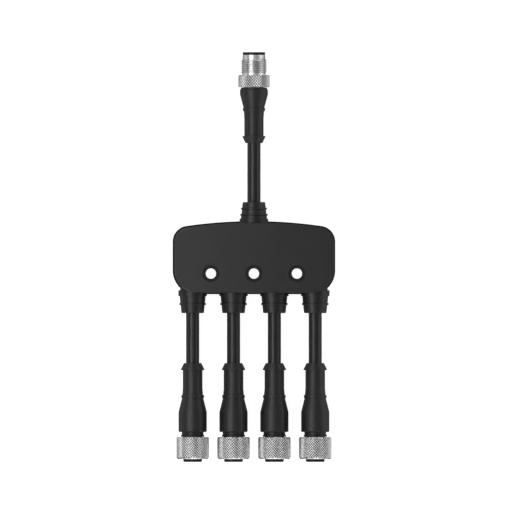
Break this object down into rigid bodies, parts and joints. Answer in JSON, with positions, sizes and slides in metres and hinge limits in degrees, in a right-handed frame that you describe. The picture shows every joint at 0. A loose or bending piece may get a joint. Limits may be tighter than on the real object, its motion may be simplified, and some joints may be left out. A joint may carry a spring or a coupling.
{
  "type": "cable splitter with screw connectors",
  "caption": "Splitter lead: a flat black junction body with mounting holes, a cable to a male screw connector at one edge and cables to female ones at the other.",
  "frame": {"origin": "centre of the middle mounting hole on the body's flat back face", "axes": "+Y along the leads towards the male connector, +Z out of the body's front face, +X across the body"},
  "size_m": [0.0756, 0.1906, 0.016],
  "materials": {
    "shell_black": "fine moulded grain, satin",
    "gland_black": "smooth satin elastomer",
    "cable_black": "semi-gloss polyurethane jacket",
    "grip_black": "satin overmould",
    "carrier_black": "moulded polyamide",
    "ring_nickel": "nickel-plated brass, machined",
    "contact_gold": "gold-plated copper alloy",
    "wire_insulation": "extruded insulation",
    "mould_white": "hot-melt inner moulding",
    "seal_rubber": "matt rubber",
    "board_green": "solder-masked glass epoxy",
    "solder_tin": "bright solder",
    "screw_steel": "zinc-plated"
  },
  "bodies": {
    "splitter": {"front_shell": "shell_black", "back_shell": "shell_black", "shell_screws": "screw_steel", "circuit_board": "board_green", "solder_joints": "solder_tin", "branch_1_gland": "gland_black", "branch_1_cable_jacket": "cable_black", "branch_1_wires": "wire_insulation", "branch_1_inner_mould": "mould_white", "branch_1_contact_carrier": "carrier_black", "branch_1_grip": "grip_black", "branch_1_socket_contacts": "contact_gold", "branch_1_o_ring": "seal_rubber", "branch_2_gland": "gland_black", "branch_2_cable_jacket": "cable_black", "branch_2_wires": "wire_insulation", "branch_2_inner_mould": "mould_white", "branch_2_contact_carrier": "carrier_black", "branch_2_grip": "grip_black", "branch_2_socket_contacts": "contact_gold", "branch_2_o_ring": "seal_rubber", "branch_3_gland": "gland_black", "branch_3_cable_jacket": "cable_black", "branch_3_wires": "wire_insulation", "branch_3_inner_mould": "mould_white", "branch_3_contact_carrier": "carrier_black", "branch_3_grip": "grip_black", "branch_3_socket_contacts": "contact_gold", "branch_3_o_ring": "seal_rubber", "branch_4_gland": "gland_black", "branch_4_cable_jacket": "cable_black", "branch_4_wires": "wire_insulation", "branch_4_inner_mould": "mould_white", "branch_4_contact_carrier": "carrier_black", "branch_4_grip": "grip_black", "branch_4_socket_contacts": "contact_gold", "branch_4_o_ring": "seal_rubber", "trunk_gland": "gland_black", "trunk_cable_jacket": "cable_black", "trunk_wires": "wire_insulation", "trunk_inner_mould": "mould_white", "trunk_contact_carrier": "carrier_black", "trunk_grip": "grip_black", "trunk_pin_contacts": "contact_gold"},
    "branch_1_nut": {"branch_1_coupling_nut": "ring_nickel"},
    "branch_2_nut": {"branch_2_coupling_nut": "ring_nickel"},
    "branch_3_nut": {"branch_3_coupling_nut": "ring_nickel"},
    "branch_4_nut": {"branch_4_coupling_nut": "ring_nickel"},
    "trunk_screw": {"trunk_coupling_screw": "ring_nickel"}
  },
  "joints": [
    {"name": "branch_1_nut_turn", "type": "hinge", "parent": "splitter", "child": "branch_1_nut", "pos_m": [-0.0285, 0, 0.008], "axis": [0, -1, 0], "continuous": true},
    {"name": "branch_2_nut_turn", "type": "hinge", "parent": "splitter", "child": "branch_2_nut", "pos_m": [-0.0095, 0, 0.008], "axis": [0, -1, 0], "continuous": true},
    {"name": "branch_3_nut_turn", "type": "hinge", "parent": "splitter", "child": "branch_3_nut", "pos_m": [0.0095, 0, 0.008], "axis": [0, -1, 0], "continuous": true},
    {"name": "branch_4_nut_turn", "type": "hinge", "parent": "splitter", "child": "branch_4_nut", "pos_m": [0.0285, 0, 0.008], "axis": [0, -1, 0], "continuous": true},
    {"name": "trunk_screw_turn", "type": "hinge", "parent": "splitter", "child": "trunk_screw", "pos_m": [0, 0, 0.008], "axis": [0, 1, 0], "continuous": true}
  ]
}
